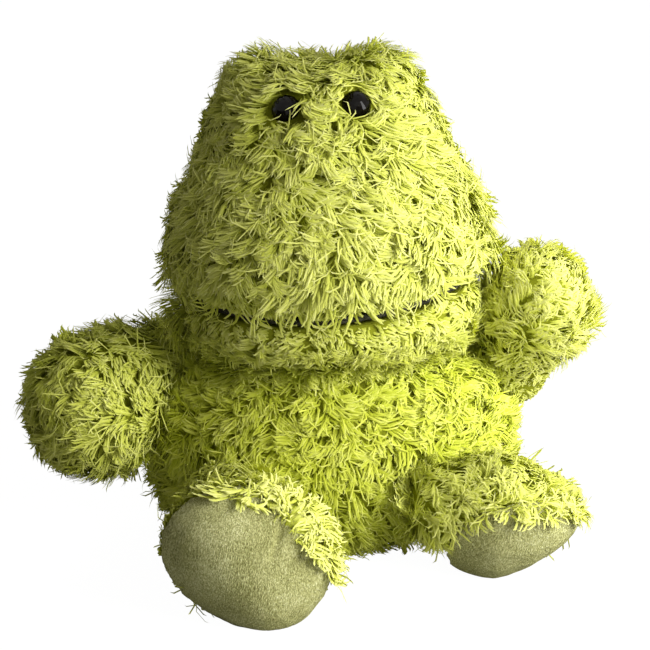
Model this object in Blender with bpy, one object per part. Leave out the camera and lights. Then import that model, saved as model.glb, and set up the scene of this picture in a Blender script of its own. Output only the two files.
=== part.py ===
"""A seated plush frog, sewn from pile fabric and stuffed, about 0.23 m tall.

Metres, +Z up. The frog sits on Z = 0 and faces -Y, so its own right side is on -X. The origin is the
middle of the flat seat under the body. Run it with: blender --background --python part.py
"""

import math

import bmesh
import bpy
import numpy as np
from mathutils import Matrix, Vector

# Fabric and fits
COVER_WALL = 0.004
LEAST_INNER_RADIUS = 0.008
FIT_GAP = 0.0003
JOINT_GAP = 0.0005
SWING_GAP = 0.0008
ROOT_SPARE = 0.0004
FLAT_CUT = 0.0005
OVERRUN = 0.012
MERGE_DISTANCE = 0.0000005

# Body
BODY_WIDTH = 0.170
BODY_DEPTH = 0.118
SHOULDER_HEIGHT = 0.090
SHOULDER_RADIUS = 0.046
NECK_RISE = 0.017
PELLET_LEVEL = 0.026

# Upper head, above the mouth
MOUTH_RISE = 0.022
MOUTH_HEIGHT = SHOULDER_HEIGHT + MOUTH_RISE
HEAD_WIDTH = 0.144
HEAD_DEPTH = 0.114
HEAD_RISE = 0.108
HEAD_FORWARD = 0.008
HEAD_SHIFT = -0.002
HEAD_TURN = math.radians(-5)
HEAD_TILT = math.radians(-3)
HEAD_LEAN = math.radians(-4)
MOUND_SPACING = 0.058
MOUND_RADIUS = 0.027
MOUND_RISE = 0.007
MOUND_LEAN_SHARES = (1, -1, 2)

# Mouth and lower lip
MOUTH_SMILE = 0.011
SMILE_DEPTH = 0.034
LINING_THICKNESS = 0.0032
LINING_SETBACK = 0.0015
LINING_SEAM_SETBACK = 0.008
LINING_SHOW_SHARES = (0.5, 2)
THROAT_RADIUS = 0.022
JAW_WIDTH = 0.139
JAW_DEPTH = 0.108
JAW_DROP = 0.028

# Eyes
EYE_RADIUS = 0.0065
EYE_RISE = 0.0052
EYE_SINK = 0.0015
EYE_SPACING = 0.0312
EYE_SHIFT = 0.0036
EYE_DROP = 0.0176
EYE_HEIGHT = HEAD_RISE - EYE_DROP
SHANK_RADIUS = 0.002
SHANK_LENGTH = 0.011
WASHER_RADIUS = 0.007
WASHER_THICKNESS = 0.0015
WASHER_STANDOFF = 0.0020
WASHER_POCKET_DEPTH = 0.014

# Arms
ARM_ROOT_RADIUS = 0.021
RIGHT_ARM_RADIUS = 0.0318
LEFT_ARM_RADIUS = 0.0236
RIGHT_ARM_REACH = 0.042
LEFT_ARM_REACH = 0.041
ARM_END = 0.025
ARM_OPENING = math.radians(30)
SHOULDER_INSET = 0.001
SHOULDER_SPREAD = BODY_WIDTH / 2 - SHOULDER_INSET
SHOULDER_DROP = 0.015
SHOULDER_LEVEL = SHOULDER_HEIGHT - SHOULDER_DROP
SHOULDER_BACK = 0.008

# Legs and feet
LEG_ROOT_RADIUS = 0.020
LEG_RADIUS = 0.0255
LEG_OPENING = math.radians(26)
HIP_INSET = 0.035
HIP_SPREAD = BODY_WIDTH / 2 - HIP_INSET
HIP_SINK = 0.003
HIP_FORWARD = BODY_DEPTH / 2 - HIP_SINK
HIP_LEVEL = 0.029
FOOT_WIDTH = 0.077
FOOT_HEIGHT = 0.062
SOLE_DEPTH = 0.0125
LEFT_SOLE_DEPTH = 0.015

# Counts that set how finely the forms are faceted
FORM_SEGMENTS = 32
INNER_SEGMENTS = 18
LIMB_SEGMENTS = 20
LIMB_INNER_SEGMENTS = 12
SOCKET_SEGMENTS = 20
ROOT_SEGMENTS = 40
EYE_SEGMENTS = 20
RING_STEPS = 2
BALL_STEPS = 5
SWING_STEPS = 4
SMILE_STEPS = 14
SHARP_ANGLE = math.radians(50)

# Each row is a half-width, a half-depth, a shift to the back and a height. All are shares: of half the
# width, half the depth, the depth, and the height up to the shoulders.
BODY_ROW_SHARES = (
    (0.66, 0.64, 0.00, -0.002),
    (0.84, 0.82, 0.00, 0.05),
    (0.96, 0.95, 0.00, 0.18),
    (1.00, 1.00, 0.00, 0.38),
    (1.00, 0.96, 0.00, 0.62),
    (0.92, 0.86, 0.00, 0.82),
    (0.76, 0.80, 0.00, 0.94),
)
# Radius as a share of the shoulder radius, and height as a share of the neck's rise.
NECK_ROW_SHARES = ((1.0, 0.0), (0.88, 0.34), (0.66, 0.70), (0.34, 0.94), (0.0, 1.0))

HEAD_ROW_SHARES = (
    (0.72, 0.72, 0.00, -0.05),
    (0.92, 0.92, 0.00, 0.00),
    (0.99, 0.99, 0.00, 0.10),
    (1.00, 1.00, 0.005, 0.24),
    (0.93, 0.95, 0.02, 0.43),
    (0.82, 0.83, 0.06, 0.62),
    (0.725, 0.70, 0.10, 0.78),
    (0.60, 0.53, 0.12, 0.92),
    (0.33, 0.28, 0.13, 0.99),
    (0.0, 0.0, 0.13, 1.00),
)
JAW_ROW_SHARES = (
    (0.0, 0.0, 0.0, -1.00),
    (0.48, 0.48, 0.0, -0.98),
    (0.80, 0.80, 0.0, -0.82),
    (0.97, 0.97, 0.0, -0.48),
    (0.99, 0.99, 0.0, -0.18),
    (0.90, 0.90, 0.0, 0.06),
)
# Radius as a share of the arm's, and distance from the shoulder as a share of the reach.
ARM_ROW_SHARES = ((0.87, 0.32), (0.97, 0.72), (1.0, 1.0))
ARM_END_SHARES = ((0.80, 0.62), (0.42, 0.93), (0.0, 1.0))

# Each leg: half-width and half-height as shares of the leg's radius or the foot's half-size, a shift up
# as a share of the foot's height, and the distance from the hip as a share of the leg's length.
RIGHT_LEG_LENGTH = 0.068
RIGHT_LEG_SHARES = ((1.0, 1.0, 0.0, 0.30), (1.0, 1.0, 0.0, 0.52))
RIGHT_FOOT_SHARES = (
    (0.97, 0.95, 0.0, 0.74),
    (1.0, 1.0, 0.0, 0.82),
    (0.80, 0.80, 0.0, 0.935),
    (0.42, 0.42, 0.0, 0.99),
    (0.0, 0.0, 0.0, 1.0),
)
LEFT_LEG_LENGTH = 0.060
LEFT_LEG_SHARES = ((1.0, 1.02, -0.02, 0.28), (1.0, 1.06, -0.035, 0.46))
LEFT_FOOT_SHARES = ((0.58, 0.58, -0.022, 0.76), (0.36, 0.38, 0.0, 0.93), (0.0, 0.0, 0.0, 1.0))

# Where each limb points: the turn from the frog's own side towards its front, and the rise
RIGHT_ARM_FORWARD = math.radians(40)
RIGHT_ARM_RISE = math.radians(-19)
LEFT_ARM_FORWARD = math.radians(61)
LEFT_ARM_RISE = math.radians(61)
RIGHT_LEG_FORWARD = math.radians(105)
RIGHT_LEG_RISE = math.radians(0)
LEFT_LEG_FORWARD = math.radians(5)
LEFT_LEG_RISE = math.radians(-1)
RIGHT_FOOT_ROLL = math.radians(-34)
LEFT_SOLE_TURN = math.radians(72)
LEFT_SOLE_TIP = math.radians(-32)

# How far each limb swings on its sewn root, from where it rests
RIGHT_ARM_SWING = (math.radians(-12), math.radians(30))
LEFT_ARM_SWING = (math.radians(-30), 0)
RIGHT_LEG_SWING = (math.radians(-15), math.radians(15))
LEFT_LEG_SWING = (math.radians(-24), 0)

PILE_GREEN = (0.50, 0.55, 0.12)
DEEP_GREEN = (0.42, 0.50, 0.08)
SOLE_GREEN = (0.36, 0.38, 0.17)
FELT_GREY = (0.03, 0.03, 0.025)
STUFFING_WHITE = (0.80, 0.80, 0.77)
PELLET_CLOTH = (0.62, 0.62, 0.58)
EYE_BLACK = (0.008, 0.007, 0.005)
WASHER_WHITE = (0.70, 0.70, 0.68)


def clear_scene():
    for obj in list(bpy.data.objects):
        bpy.data.objects.remove(obj, do_unlink=True)


def material(name, colour, roughness, metallic=0.0):
    made = bpy.data.materials.new(name)
    made.use_nodes = True
    shader = made.node_tree.nodes["Principled BSDF"]
    shader.inputs["Base Color"].default_value = (*colour, 1.0)
    shader.inputs["Roughness"].default_value = roughness
    shader.inputs["Metallic"].default_value = metallic
    made.diffuse_color = (*colour, 1.0)
    return made


def smooth_rings(rows, steps=RING_STEPS):
    """Rings (half-width, half-depth, shift, height) on a smooth curve through the rows."""
    rows = [np.array(row, float) for row in rows]

    def beyond(end, inner):
        if end[0] == 0:
            return inner * (-1, -1, 1, 1)
        return 2 * end - inner

    points = [beyond(rows[0], rows[1]), *rows, beyond(rows[-1], rows[-2])]
    rings = []
    for i in range(1, len(points) - 2):
        p0, p1, p2, p3 = points[i - 1 : i + 3]
        for step in range(steps):
            t = step / steps
            linear = (p2 - p0) * t
            square = (2 * p0 - 5 * p1 + 4 * p2 - p3) * t**2
            cube = (3 * p1 - p0 - 3 * p2 + p3) * t**3
            rings.append((2 * p1 + linear + square + cube) / 2)
    rings.append(rows[-1])
    return np.array(rings)


def inset_rings(rings, distance):
    """The rings moved inwards, square to the outline."""
    radius = rings[:, :2].mean(axis=1)
    height = rings[:, 3]
    run = np.gradient(radius)
    rise = np.gradient(height)
    length = np.hypot(run, rise)
    outward = rise / length
    down = run / length
    poles = radius == 0
    outward[poles] = 0
    down[poles] = np.sign(run[poles])
    moved = rings.copy()
    moved[:, :2] -= (outward * distance)[:, None]
    moved[:, 3] += down * distance
    keep = (rings[:, 0] > LEAST_INNER_RADIUS) | poles
    return moved[keep]


def inner_rings(rings, gap=0):
    """Every second ring, counted back from the last, moved in by the cover's wall and a gap."""
    rings = rings[::-2][::-1]
    return inset_rings(rings, COVER_WALL + gap)


def form_mesh(rings, place, segments, shape=None):
    """A closed surface through the rings: an end of no size is a pole, and any other is capped flat."""
    work = bmesh.new()
    loops = []
    for half_width, half_depth, shift, height in rings:
        count = 1 if half_width == 0 else segments
        loop = []
        for step in range(count):
            angle = math.tau * step / segments
            point = Vector((half_width * math.cos(angle), half_depth * math.sin(angle) + shift, height))
            if shape is not None:
                point = shape(point)
            loop.append(work.verts.new(place @ point))
        loops.append(loop)
    for low, high in zip(loops, loops[1:]):
        for step in range(segments):
            after = (step + 1) % segments
            if len(low) > 1:
                work.faces.new((low[step], low[after], high[after % len(high)]))
            if len(high) > 1:
                work.faces.new((low[step % len(low)], high[after], high[step]))
    for end in (loops[0], loops[-1]):
        if len(end) > 1:
            work.faces.new(end)
    bmesh.ops.recalc_face_normals(work, faces=work.faces)
    return work


def keep_side(work, point, normal):
    """Keeps what lies on the side of the plane that the normal points to, and closes the cut."""
    geometry = work.verts[:] + work.edges[:] + work.faces[:]
    cut = bmesh.ops.bisect_plane(
        work, geom=geometry, plane_co=point, plane_no=normal, clear_inner=True, dist=MERGE_DISTANCE
    )
    rim = [edge for edge in cut["geom_cut"] if isinstance(edge, bmesh.types.BMEdge)]
    bmesh.ops.contextual_create(work, geom=rim)
    bmesh.ops.recalc_face_normals(work, faces=work.faces)
    return work


def stand_on_floor(work, height=0):
    return keep_side(work, Vector((0, 0, height)), Vector((0, 0, 1)))


def add_object(name, work, finish=None, parent=None):
    mesh = bpy.data.meshes.new(name)
    bmesh.ops.triangulate(work, faces=[face for face in work.faces if len(face.verts) > 4])
    work.to_mesh(mesh)
    work.free()
    mesh.shade_smooth()
    mesh.set_sharp_from_angle(angle=SHARP_ANGLE)
    obj = bpy.data.objects.new(name, mesh)
    bpy.context.scene.collection.objects.link(obj)
    if finish is None:
        obj.hide_render = True
        obj.display_type = "WIRE"
    else:
        mesh.materials.append(finish)
    if parent is not None:
        obj.parent = parent
        obj.matrix_parent_inverse = parent.matrix_world.inverted()
    return obj


def boolean(obj, other, operation):
    modifier = obj.modifiers.new(operation.lower() + " " + other.name, "BOOLEAN")
    modifier.operation = operation
    modifier.solver = "EXACT"
    modifier.object = other


def cut_by(obj, *cutters):
    for cutter in cutters:
        boolean(obj, cutter, "DIFFERENCE")
    return obj


def pivot(name, place):
    empty = bpy.data.objects.new(name, None)
    bpy.context.scene.collection.objects.link(empty)
    empty.location = place
    bpy.context.view_layer.update()
    return empty


def ball(centre, radius, segments):
    """A faceted ball whose corners lie on the sphere."""
    work = bmesh.new()
    bmesh.ops.create_uvsphere(
        work,
        u_segments=segments,
        v_segments=segments // 2,
        radius=radius,
        matrix=Matrix.Translation(centre),
    )
    return work


def socket_cutter(name, centre, radius):
    """A ball whose flats lie outside the sphere, so that what turns in its socket keeps its gap."""
    outside = (radius + JOINT_GAP) / math.cos(math.pi / SOCKET_SEGMENTS) ** 2
    return add_object(name + "_socket_cutter", ball(centre, outside, SOCKET_SEGMENTS))


def rod(place, radius, low, high, segments=EYE_SEGMENTS):
    """A cylinder along the Z axis of its place, from low to high."""
    rings = np.array([(radius, radius, 0, low), (radius, radius, 0, high)])
    return form_mesh(rings, place, segments)


def aimed(centre, direction, up=Vector((0, 0, 1))):
    """A frame at the centre whose Z axis is the direction and whose Y axis is near up."""
    z_axis = direction.normalized()
    x_axis = up.cross(z_axis).normalized()
    y_axis = z_axis.cross(x_axis)
    turn = Matrix((x_axis, y_axis, z_axis)).transposed().to_4x4()
    return Matrix.Translation(centre) @ turn


def limb_direction(side, forward, rise):
    """Where a limb points. Side is -1 on the frog's right and 1 on its left."""
    flat = math.cos(rise)
    return Vector((side * flat * math.cos(forward), -flat * math.sin(forward), math.sin(rise)))


def root_rings(radius, opening):
    """Rings on the ball at a limb's root, from its sewn opening to its widest place."""
    rings = []
    for step in range(BALL_STEPS):
        angle = opening + (math.pi / 2 - opening) * step / BALL_STEPS
        rings.append((radius * math.sin(angle), radius * math.sin(angle), 0, -radius * math.cos(angle)))
    return rings


# The body's rings, and the turned neck that the head sits on
BODY_RINGS = smooth_rings(
    [
        (w * BODY_WIDTH / 2, d * BODY_DEPTH / 2, s * BODY_DEPTH, h * SHOULDER_HEIGHT)
        for w, d, s, h in BODY_ROW_SHARES
    ]
    + [
        (r * SHOULDER_RADIUS, r * SHOULDER_RADIUS, 0, SHOULDER_HEIGHT + h * NECK_RISE)
        for r, h in NECK_ROW_SHARES
    ]
)
NECK_RINGS = BODY_RINGS[BODY_RINGS[:, 3] >= MOUTH_HEIGHT - JAW_DROP - OVERRUN]
HEAD_RINGS = smooth_rings(
    [
        (w * HEAD_WIDTH / 2, d * HEAD_DEPTH / 2, s * HEAD_DEPTH, h * HEAD_RISE)
        for w, d, s, h in HEAD_ROW_SHARES
    ]
)
JAW_RINGS = smooth_rings(
    [
        (w * JAW_WIDTH / 2, d * JAW_DEPTH / 2, s * JAW_DEPTH, h * JAW_DROP)
        for w, d, s, h in JAW_ROW_SHARES
    ]
)
HEAD_PLACE = (
    Matrix.Translation((HEAD_SHIFT, -HEAD_FORWARD, MOUTH_HEIGHT))
    @ Matrix.Rotation(HEAD_TURN, 4, "Z")
    @ Matrix.Rotation(HEAD_LEAN, 4, "Y")
    @ Matrix.Rotation(HEAD_TILT, 4, "X")
)


def raise_mounds(point):
    """The upper head's outline, with a low mound over each eye and a shallow valley between."""
    moved = point.copy()
    for side in (-1, 1):
        crest = Vector((side * MOUND_SPACING / 2, HEAD_ROW_SHARES[-2][2] * HEAD_DEPTH, HEAD_RISE))
        away = (point - crest).length / MOUND_RADIUS
        if away < 1:
            across, forward, up = MOUND_LEAN_SHARES
            lift = Vector((side * across, forward, up)).normalized() * MOUND_RISE
            moved += lift * (1 - away**2) ** 2
    return moved


def smile_rise(across):
    """How far the mouth lies above its middle, at a distance across the head."""
    return MOUTH_SMILE * (across / (HEAD_WIDTH / 2)) ** 2


def follow_smile(point, depth):
    """The point raised as the mouth is, less and less up to a depth away from the mouth."""
    share = max(0, 1 - abs(point.z) / depth)
    return point + Vector((0, 0, smile_rise(point.x) * share**2 * (3 - 2 * share)))


def shape_head(point):
    return follow_smile(raise_mounds(point), SMILE_DEPTH)


def shape_jaw(point):
    return follow_smile(point, JAW_DROP)


def head_surface(angle, height):
    """A point on the upper head's outside, in the head's own frame."""
    half_width, half_depth, shift = (
        np.interp(height, HEAD_RINGS[:, 3], HEAD_RINGS[:, column]) for column in range(3)
    )
    point = Vector((half_width * math.cos(angle), half_depth * math.sin(angle) + shift, height))
    return raise_mounds(point)


def eye_frame(side):
    """The frame of one eye: its origin on the head's surface and its Z axis pointing out."""
    half_width = np.interp(EYE_HEIGHT, HEAD_RINGS[:, 3], HEAD_RINGS[:, 0])
    angle = -math.acos((side * EYE_SPACING / 2 + EYE_SHIFT) / half_width)
    step = EYE_RADIUS / half_width
    across = head_surface(angle + step, EYE_HEIGHT) - head_surface(angle - step, EYE_HEIGHT)
    upward = head_surface(angle, EYE_HEIGHT + EYE_RADIUS) - head_surface(angle, EYE_HEIGHT - EYE_RADIUS)
    outward = across.cross(upward)
    local = aimed(head_surface(angle, EYE_HEIGHT), outward)
    return HEAD_PLACE @ local


def neck_rings():
    """The room the shoulders and neck need in the head: round, so that the head can turn on them."""
    rings = inset_rings(NECK_RINGS, -JOINT_GAP)
    widest = rings[:, :2].max(axis=1)
    rings[:, 0] = widest
    rings[:, 1] = widest
    return rings


def make_head(finishes, turning):
    lining_top = LINING_THICKNESS / 2
    far_above = HEAD_RISE + OVERRUN
    far_below = -JAW_DROP - OVERRUN
    below_head = mouth_block((far_below, False), (lining_top + FIT_GAP, True))
    above_jaw = mouth_block((-lining_top - FIT_GAP, True), (far_above, False))
    head_end_cutter = add_object("head_end_cutter", below_head)
    jaw_end_cutter = add_object("jaw_end_cutter", above_jaw)
    neck_cutter = add_object("neck_cutter", form_mesh(neck_rings(), Matrix.Identity(4), FORM_SEGMENTS))

    cavity = inner_rings(HEAD_RINGS)
    cavity_cutter = add_object(
        "head_cavity_cutter", form_mesh(cavity, HEAD_PLACE, INNER_SEGMENTS, shape_head)
    )
    shell = form_mesh(HEAD_RINGS, HEAD_PLACE, FORM_SEGMENTS, shape_head)
    head_cover = add_object("head_cover", shell, finishes["pile"], turning)
    cut_by(head_cover, cavity_cutter, head_end_cutter)
    stuffing = inner_rings(HEAD_RINGS, FIT_GAP)
    packed = form_mesh(stuffing, HEAD_PLACE, INNER_SEGMENTS, shape_head)
    head_filling = add_object("head_filling", packed, finishes["stuffing"], turning)
    cut_by(head_filling, head_end_cutter)

    jaw_cavity = inner_rings(JAW_RINGS)
    jaw_cavity_form = form_mesh(jaw_cavity, HEAD_PLACE, INNER_SEGMENTS, shape_jaw)
    jaw_cutter = add_object("jaw_cavity_cutter", jaw_cavity_form)
    lip = form_mesh(JAW_RINGS, HEAD_PLACE, FORM_SEGMENTS, shape_jaw)
    jaw_cover = add_object("jaw_cover", lip, finishes["pile"], turning)
    cut_by(jaw_cover, jaw_cutter, jaw_end_cutter, neck_cutter)
    jaw_stuffing = inner_rings(JAW_RINGS, FIT_GAP)
    lip_packed = form_mesh(jaw_stuffing, HEAD_PLACE, INNER_SEGMENTS, shape_jaw)
    jaw_filling = add_object("jaw_filling", lip_packed, finishes["stuffing"], turning)
    cut_by(jaw_filling, jaw_end_cutter, neck_cutter)

    felt = mouth_block((-lining_top, True), (lining_top, True))
    lining = add_object("mouth_lining", felt, finishes["felt"], turning)
    outline = add_object("lining_outline", lining_outline(far_below, far_above))
    boolean(lining, outline, "INTERSECT")
    throat = rod(HEAD_PLACE, THROAT_RADIUS, far_below, far_above, FORM_SEGMENTS)
    cut_by(lining, add_object("throat_cutter", throat))
    for side, word in ((-1, "right"), (1, "left")):
        make_eye(side, word, finishes, turning, head_cover, head_filling)


def mouth_block(under, over):
    """A block across the head. Its faces under and over each have a height, and may follow the mouth."""
    half_width = HEAD_WIDTH / 2 + OVERRUN
    half_depth = HEAD_DEPTH / 2 + OVERRUN
    work = bmesh.new()
    sections = []
    for step in range(SMILE_STEPS + 1):
        across = half_width * (2 * step / SMILE_STEPS - 1)
        low, high = (height + smile_rise(across) * follows for height, follows in (under, over))
        corners = ((-half_depth, low), (half_depth, low), (half_depth, high), (-half_depth, high))
        sections.append([work.verts.new(HEAD_PLACE @ Vector((across, y, z))) for y, z in corners])
    for first, second in zip(sections, sections[1:]):
        for corner in range(4):
            after = (corner + 1) % 4
            work.faces.new((first[corner], first[after], second[after], second[corner]))
    work.faces.new(sections[0])
    work.faces.new(sections[-1])
    bmesh.ops.recalc_face_normals(work, faces=work.faces)
    return work


def lining_outline(low, high):
    """The outline the mouth's felt is cut to: it shows at the front, and hides in the seam behind."""
    edge = np.array(
        [np.interp(0, HEAD_RINGS[:, 3], HEAD_RINGS[:, column]) for column in range(3)]
    )
    work = bmesh.new()
    loops = []
    for height in (low, high):
        loop = []
        for step in range(FORM_SEGMENTS):
            angle = math.tau * step / FORM_SEGMENTS
            showing = max(0, min(1, LINING_SHOW_SHARES[0] - LINING_SHOW_SHARES[1] * math.sin(angle)))
            setback = LINING_SEAM_SETBACK + (LINING_SETBACK - LINING_SEAM_SETBACK) * showing
            across = (edge[0] - setback) * math.cos(angle)
            back = (edge[1] - setback) * math.sin(angle) + edge[2]
            loop.append(work.verts.new(HEAD_PLACE @ Vector((across, back, height))))
        loops.append(loop)
    low_loop, high_loop = loops
    for step in range(FORM_SEGMENTS):
        after = (step + 1) % FORM_SEGMENTS
        work.faces.new((low_loop[step], low_loop[after], high_loop[after], high_loop[step]))
    work.faces.new(low_loop)
    work.faces.new(high_loop)
    bmesh.ops.recalc_face_normals(work, faces=work.faces)
    return work


def make_eye(side, word, finishes, turning, head_cover, head_filling):
    frame = eye_frame(side)
    seat = -EYE_SINK
    dome = [(0, 0, 0, seat - SHANK_LENGTH)]
    dome += [(SHANK_RADIUS, SHANK_RADIUS, 0, seat - SHANK_LENGTH), (SHANK_RADIUS, SHANK_RADIUS, 0, seat)]
    for step in range(EYE_SEGMENTS // 4):
        angle = math.pi / 2 * step / (EYE_SEGMENTS // 4)
        radius = EYE_RADIUS * math.cos(angle)
        dome.append((radius, radius, 0, seat + EYE_RISE * math.sin(angle)))
    dome.append((0, 0, 0, seat + EYE_RISE))
    eye = form_mesh(np.array(dome), frame, EYE_SEGMENTS)
    add_object("eye_" + word, eye, finishes["eye"], turning)

    seat_cutter = add_object(
        "eye_seat_cutter_" + word,
        rod(frame, EYE_RADIUS + FIT_GAP, seat - FIT_GAP, OVERRUN),
    )
    hole_cutter = add_object(
        "shank_hole_cutter_" + word,
        rod(frame, SHANK_RADIUS + FIT_GAP, -WASHER_POCKET_DEPTH, OVERRUN),
    )
    cut_by(head_cover, seat_cutter, hole_cutter)

    washer_top = -COVER_WALL - WASHER_STANDOFF
    washer_low = washer_top - WASHER_THICKNESS
    hole = SHANK_RADIUS + FIT_GAP
    work = bmesh.new()
    loops = []
    for radius, height in (
        (hole, washer_low),
        (WASHER_RADIUS, washer_low),
        (WASHER_RADIUS, washer_top),
        (hole, washer_top),
    ):
        loop = []
        for step in range(EYE_SEGMENTS):
            angle = math.tau * step / EYE_SEGMENTS
            point = Vector((radius * math.cos(angle), radius * math.sin(angle), height))
            loop.append(work.verts.new(frame @ point))
        loops.append(loop)
    for low, high in zip(loops, loops[1:] + loops[:1]):
        for step in range(EYE_SEGMENTS):
            after = (step + 1) % EYE_SEGMENTS
            work.faces.new((low[step], low[after], high[after], high[step]))
    bmesh.ops.recalc_face_normals(work, faces=work.faces)
    add_object("eye_washer_" + word, work, finishes["washer"], turning)
    pocket = add_object(
        "washer_pocket_cutter_" + word,
        rod(frame, WASHER_RADIUS + FIT_GAP, -WASHER_POCKET_DEPTH, OVERRUN),
    )
    cut_by(head_filling, pocket)


def make_body(finishes, sockets):
    place = Matrix.Identity(4)
    shell = stand_on_floor(form_mesh(BODY_RINGS, place, FORM_SEGMENTS))
    body_cover = add_object("body_cover", shell, finishes["belly"])
    cavity = stand_on_floor(
        form_mesh(inner_rings(BODY_RINGS), place, INNER_SEGMENTS), COVER_WALL
    )
    cut_by(body_cover, add_object("body_cavity_cutter", cavity), *sockets)

    packed = inner_rings(BODY_RINGS, FIT_GAP)
    upper = stand_on_floor(form_mesh(packed, place, INNER_SEGMENTS), PELLET_LEVEL + FIT_GAP)
    filling = add_object("body_filling", upper, finishes["stuffing"])
    cut_by(filling, *sockets)
    lower = stand_on_floor(form_mesh(packed, place, INNER_SEGMENTS), COVER_WALL + FIT_GAP)
    keep_side(lower, Vector((0, 0, PELLET_LEVEL)), Vector((0, 0, -1)))
    bag = add_object("pellet_bag", lower, finishes["pellets"])
    cut_by(bag, *sockets)


def body_clearance(name, centre, root_radius, axis, swing):
    """What a limb keeps off: the body as the limb meets it through its swing, less the ball it turns in."""
    outlines = []
    for step in range(SWING_STEPS + 1):
        angle = swing[0] + (swing[1] - swing[0]) * step / SWING_STEPS
        turned = Matrix.Rotation(-angle, 4, axis)
        about = Matrix.Translation(centre) @ turned @ Matrix.Translation(-centre)
        outline = form_mesh(inset_rings(BODY_RINGS, -SWING_GAP), about, FORM_SEGMENTS)
        outlines.append(add_object(f"{name}_clearance_cutter_{step}", outline))
    swept = outlines[0]
    for outline in outlines[1:]:
        boolean(swept, outline, "UNION")
    spared = ball(centre, root_radius + ROOT_SPARE, ROOT_SEGMENTS)
    return cut_by(swept, add_object(name + "_root_cutter", spared))


def make_arm(word, side, radius, reach, aim, raising, finishes):
    shoulder = Vector((side * SHOULDER_SPREAD, SHOULDER_BACK, SHOULDER_LEVEL))
    swing = pivot("shoulder_" + word, shoulder)
    place = aimed(shoulder, aim)
    rows = [(ARM_ROOT_RADIUS, ARM_ROOT_RADIUS, 0, 0)]
    rows += [(r * radius, r * radius, 0, d * reach) for r, d in ARM_ROW_SHARES]
    rows += [(r * radius, r * radius, 0, reach + d * ARM_END) for r, d in ARM_END_SHARES]
    rings = np.vstack([root_rings(ARM_ROOT_RADIUS, ARM_OPENING), smooth_rings(rows)])
    cutter = body_clearance("arm_" + word, shoulder, ARM_ROOT_RADIUS, Vector((-1, 0, 0)), raising)
    make_limb("arm_" + word, rings, place, swing, finishes["pile"], finishes["stuffing"], cutter)
    return socket_cutter("shoulder_" + word, shoulder, ARM_ROOT_RADIUS)


def make_limb(name, rings, place, swing, pile, stuffing, body_cutter, sole_plane=None):
    """A stuffed tube, open where it is sewn on and, if it has a sole, where the sole is."""
    outer = stand_on_floor(form_mesh(rings, place, LIMB_SEGMENTS))
    inner = inner_rings(rings)
    back = inner[0].copy()
    back[3] -= OVERRUN
    hollow_form = form_mesh(np.vstack([back, inner]), place, LIMB_INNER_SEGMENTS)
    hollow = stand_on_floor(hollow_form, COVER_WALL)
    packed_form = form_mesh(inner_rings(rings, FIT_GAP), place, LIMB_INNER_SEGMENTS)
    packed = stand_on_floor(packed_form, COVER_WALL + FIT_GAP)
    if sole_plane is not None:
        point, normal = sole_plane
        keep_side(outer, point, -normal)
        keep_side(packed, point, -normal)
    cover = add_object(name + "_cover", outer, pile, swing)
    cut_by(cover, add_object(name + "_cavity_cutter", hollow), body_cutter)
    filling = add_object(name + "_filling", packed, stuffing, swing)
    cut_by(filling, body_cutter)


def leg_rows(shares, half_width, half_height, length):
    return [
        (width * half_width, height * half_height, shift * FOOT_HEIGHT, place * length)
        for width, height, shift, place in shares
    ]


def make_right_leg(finishes):
    """The leg that points to the front, its sole across its end."""
    hip = Vector((-HIP_SPREAD, -HIP_FORWARD, HIP_LEVEL))
    swing = pivot("hip_right", hip)
    aim = limb_direction(-1, RIGHT_LEG_FORWARD, RIGHT_LEG_RISE)
    place = aimed(hip, aim) @ Matrix.Rotation(RIGHT_FOOT_ROLL, 4, "Z")
    rows = [(LEG_ROOT_RADIUS, LEG_ROOT_RADIUS, 0, 0)]
    rows += leg_rows(RIGHT_LEG_SHARES, LEG_RADIUS, LEG_RADIUS, RIGHT_LEG_LENGTH)
    rows += leg_rows(RIGHT_FOOT_SHARES, FOOT_WIDTH / 2, FOOT_HEIGHT / 2, RIGHT_LEG_LENGTH)
    rings = np.vstack([root_rings(LEG_ROOT_RADIUS, LEG_OPENING), smooth_rings(rows)])
    plane = (hip + aim * (RIGHT_LEG_LENGTH - SOLE_DEPTH), aim)
    return make_leg("right", rings, place, swing, hip, RIGHT_LEG_SWING, plane, finishes)


def make_left_leg(finishes):
    """The leg that points to the side, its sole along its front and underside."""
    hip = Vector((HIP_SPREAD, -HIP_FORWARD, HIP_LEVEL))
    swing = pivot("hip_left", hip)
    aim = limb_direction(1, LEFT_LEG_FORWARD, LEFT_LEG_RISE)
    place = aimed(hip, aim)
    rows = [(LEG_ROOT_RADIUS, LEG_ROOT_RADIUS, 0, 0)]
    rows += leg_rows(LEFT_LEG_SHARES, LEG_RADIUS, LEG_RADIUS, LEFT_LEG_LENGTH)
    rows += leg_rows(LEFT_FOOT_SHARES, FOOT_WIDTH / 2, FOOT_HEIGHT / 2, LEFT_LEG_LENGTH)
    rings = np.vstack([root_rings(LEG_ROOT_RADIUS, LEG_OPENING), smooth_rings(rows)])
    facing = limb_direction(1, LEFT_LEG_FORWARD + LEFT_SOLE_TURN, LEFT_SOLE_TIP)
    plane = (hip + aim * (LEFT_LEG_LENGTH / 2) + facing * (LEG_RADIUS - LEFT_SOLE_DEPTH), facing)
    return make_leg("left", rings, place, swing, hip, LEFT_LEG_SWING, plane, finishes)


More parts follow.
